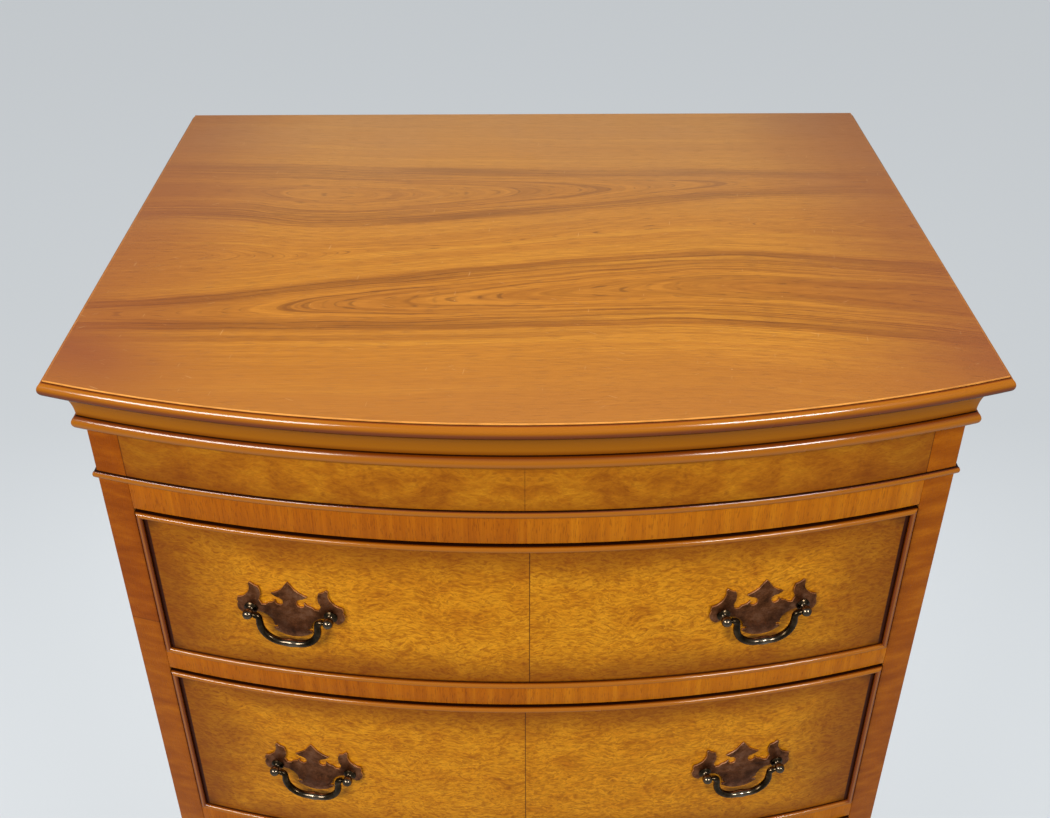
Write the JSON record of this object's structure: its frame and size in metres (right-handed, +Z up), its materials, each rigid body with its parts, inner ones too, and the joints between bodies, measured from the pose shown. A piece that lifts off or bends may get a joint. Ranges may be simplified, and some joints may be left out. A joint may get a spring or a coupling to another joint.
{
  "type": "chest-on-chest",
  "caption": "Bow-fronted walnut chest-on-chest of sliding drawers with cockbeaded burr fronts, swan-neck bail handles, moulded cornice and bracket feet.",
  "frame": {"origin": "middle of the whole part's box, on the floor under the feet", "axes": "+Z up, the bowed front and the drawers' way out towards -Y, +X to the right seen from the front"},
  "size_m": [0.6104, 0.5014, 1.2984],
  "materials": {
    "walnut_top": "satin french-polished walnut veneer, straight grain with dark streaks",
    "walnut_side": "satin walnut veneer, upright grain",
    "walnut_crossband": "satin cross-banded walnut veneer",
    "burr_walnut": "satin burr walnut veneer, golden",
    "red_moulding": "polished red-brown solid moulding, worn on the edges",
    "drawer_lining": "plain sealed hardwood",
    "carcass_wood": "plain unpolished hardwood",
    "back_panel": "plain stained plywood",
    "dark_brass": "dark patinated brass, rubbed bright on the high spots",
    "steel_screw": "plain steel, dulled"
  },
  "bodies": {
    "carcass": {"top_board": "walnut_top", "top_lipping": "red_moulding", "cornice_cavetto": "walnut_crossband", "cornice_bead": "red_moulding", "frieze_board": "burr_walnut", "frieze_bead": "red_moulding", "upper_side_left": "walnut_side", "upper_side_right": "walnut_side", "upper_back": "back_panel", "upper_rails": "walnut_crossband", "upper_runners": "carcass_wood", "upper_bottom": "walnut_crossband", "joining_screws": "steel_screw", "waist_moulding": "red_moulding", "lower_top": "walnut_crossband", "lower_side_left": "walnut_side", "lower_side_right": "walnut_side", "lower_back": "back_panel", "lower_rails": "walnut_crossband", "lower_runners": "carcass_wood", "lower_bottom": "walnut_crossband", "base_moulding": "red_moulding", "bracket_feet": "red_moulding", "foot_blocks": "carcass_wood"},
    "drawer_1": {"drawer_1_front": "burr_walnut", "drawer_1_cockbead": "red_moulding", "drawer_1_box": "drawer_lining", "drawer_1_handle_mounts": "dark_brass"},
    "drawer_1_bail_left": {"drawer_1_bail_left": "dark_brass"},
    "drawer_1_bail_right": {"drawer_1_bail_right": "dark_brass"},
    "drawer_2": {"drawer_2_front": "burr_walnut", "drawer_2_cockbead": "red_moulding", "drawer_2_box": "drawer_lining", "drawer_2_handle_mounts": "dark_brass"},
    "drawer_2_bail_left": {"drawer_2_bail_left": "dark_brass"},
    "drawer_2_bail_right": {"drawer_2_bail_right": "dark_brass"},
    "drawer_3": {"drawer_3_front": "burr_walnut", "drawer_3_cockbead": "red_moulding", "drawer_3_box": "drawer_lining", "drawer_3_handle_mounts": "dark_brass"},
    "drawer_3_bail_left": {"drawer_3_bail_left": "dark_brass"},
    "drawer_3_bail_right": {"drawer_3_bail_right": "dark_brass"},
    "drawer_4": {"drawer_4_front": "burr_walnut", "drawer_4_cockbead": "red_moulding", "drawer_4_box": "drawer_lining", "drawer_4_handle_mounts": "dark_brass"},
    "drawer_4_bail_left": {"drawer_4_bail_left": "dark_brass"},
    "drawer_4_bail_right": {"drawer_4_bail_right": "dark_brass"},
    "drawer_5": {"drawer_5_front": "burr_walnut", "drawer_5_cockbead": "red_moulding", "drawer_5_box": "drawer_lining", "drawer_5_handle_mounts": "dark_brass"},
    "drawer_5_bail_left": {"drawer_5_bail_left": "dark_brass"},
    "drawer_5_bail_right": {"drawer_5_bail_right": "dark_brass"},
    "drawer_6": {"drawer_6_front": "burr_walnut", "drawer_6_cockbead": "red_moulding", "drawer_6_box": "drawer_lining", "drawer_6_handle_mounts": "dark_brass"},
    "drawer_6_bail_left": {"drawer_6_bail_left": "dark_brass"},
    "drawer_6_bail_right": {"drawer_6_bail_right": "dark_brass"}
  },
  "joints": [
    {"name": "drawer_1_slide", "type": "slide", "parent": "carcass", "child": "drawer_1", "axis": [0, -1, 0], "range_m": [0, 0.32]},
    {"name": "drawer_1_bail_left_swing", "type": "hinge", "parent": "drawer_1", "child": "drawer_1_bail_left", "pos_m": [-0.16359, -0.22501, 1.1219], "axis": [-0.9844, 0.1758, 0], "range_deg": [0, 150]},
    {"name": "drawer_1_bail_right_swing", "type": "hinge", "parent": "drawer_1", "child": "drawer_1_bail_right", "pos_m": [0.16359, -0.22501, 1.1219], "axis": [-0.9844, -0.1758, 0], "range_deg": [0, 150]},
    {"name": "drawer_2_slide", "type": "slide", "parent": "carcass", "child": "drawer_2", "axis": [0, -1, 0], "range_m": [0, 0.32]},
    {"name": "drawer_2_bail_left_swing", "type": "hinge", "parent": "drawer_2", "child": "drawer_2_bail_left", "pos_m": [-0.16359, -0.22501, 0.9594], "axis": [-0.9844, 0.1758, 0], "range_deg": [0, 150]},
    {"name": "drawer_2_bail_right_swing", "type": "hinge", "parent": "drawer_2", "child": "drawer_2_bail_right", "pos_m": [0.16359, -0.22501, 0.9594], "axis": [-0.9844, -0.1758, 0], "range_deg": [0, 150]},
    {"name": "drawer_3_slide", "type": "slide", "parent": "carcass", "child": "drawer_3", "axis": [0, -1, 0], "range_m": [0, 0.32]},
    {"name": "drawer_3_bail_left_swing", "type": "hinge", "parent": "drawer_3", "child": "drawer_3_bail_left", "pos_m": [-0.16359, -0.22501, 0.7719], "axis": [-0.9844, 0.1758, 0], "range_deg": [0, 150]},
    {"name": "drawer_3_bail_right_swing", "type": "hinge", "parent": "drawer_3", "child": "drawer_3_bail_right", "pos_m": [0.16359, -0.22501, 0.7719], "axis": [-0.9844, -0.1758, 0], "range_deg": [0, 150]},
    {"name": "drawer_4_slide", "type": "slide", "parent": "carcass", "child": "drawer_4", "axis": [0, -1, 0], "range_m": [0, 0.32]},
    {"name": "drawer_4_bail_left_swing", "type": "hinge", "parent": "drawer_4", "child": "drawer_4_bail_left", "pos_m": [-0.1636, -0.23516, 0.5709], "axis": [-0.9848, 0.1739, 0], "range_deg": [0, 150]},
    {"name": "drawer_4_bail_right_swing", "type": "hinge", "parent": "drawer_4", "child": "drawer_4_bail_right", "pos_m": [0.1636, -0.23516, 0.5709], "axis": [-0.9848, -0.1739, 0], "range_deg": [0, 150]},
    {"name": "drawer_5_slide", "type": "slide", "parent": "carcass", "child": "drawer_5", "axis": [0, -1, 0], "range_m": [0, 0.32]},
    {"name": "drawer_5_bail_left_swing", "type": "hinge", "parent": "drawer_5", "child": "drawer_5_bail_left", "pos_m": [-0.1636, -0.23516, 0.4029], "axis": [-0.9848, 0.1739, 0], "range_deg": [0, 150]},
    {"name": "drawer_5_bail_right_swing", "type": "hinge", "parent": "drawer_5", "child": "drawer_5_bail_right", "pos_m": [0.1636, -0.23516, 0.4029], "axis": [-0.9848, -0.1739, 0], "range_deg": [0, 150]},
    {"name": "drawer_6_slide", "type": "slide", "parent": "carcass", "child": "drawer_6", "axis": [0, -1, 0], "range_m": [0, 0.32]},
    {"name": "drawer_6_bail_left_swing", "type": "hinge", "parent": "drawer_6", "child": "drawer_6_bail_left", "pos_m": [-0.1636, -0.23516, 0.2149], "axis": [-0.9848, 0.1739, 0], "range_deg": [0, 150]},
    {"name": "drawer_6_bail_right_swing", "type": "hinge", "parent": "drawer_6", "child": "drawer_6_bail_right", "pos_m": [0.1636, -0.23516, 0.2149], "axis": [-0.9848, -0.1739, 0], "range_deg": [0, 150]}
  ]
}
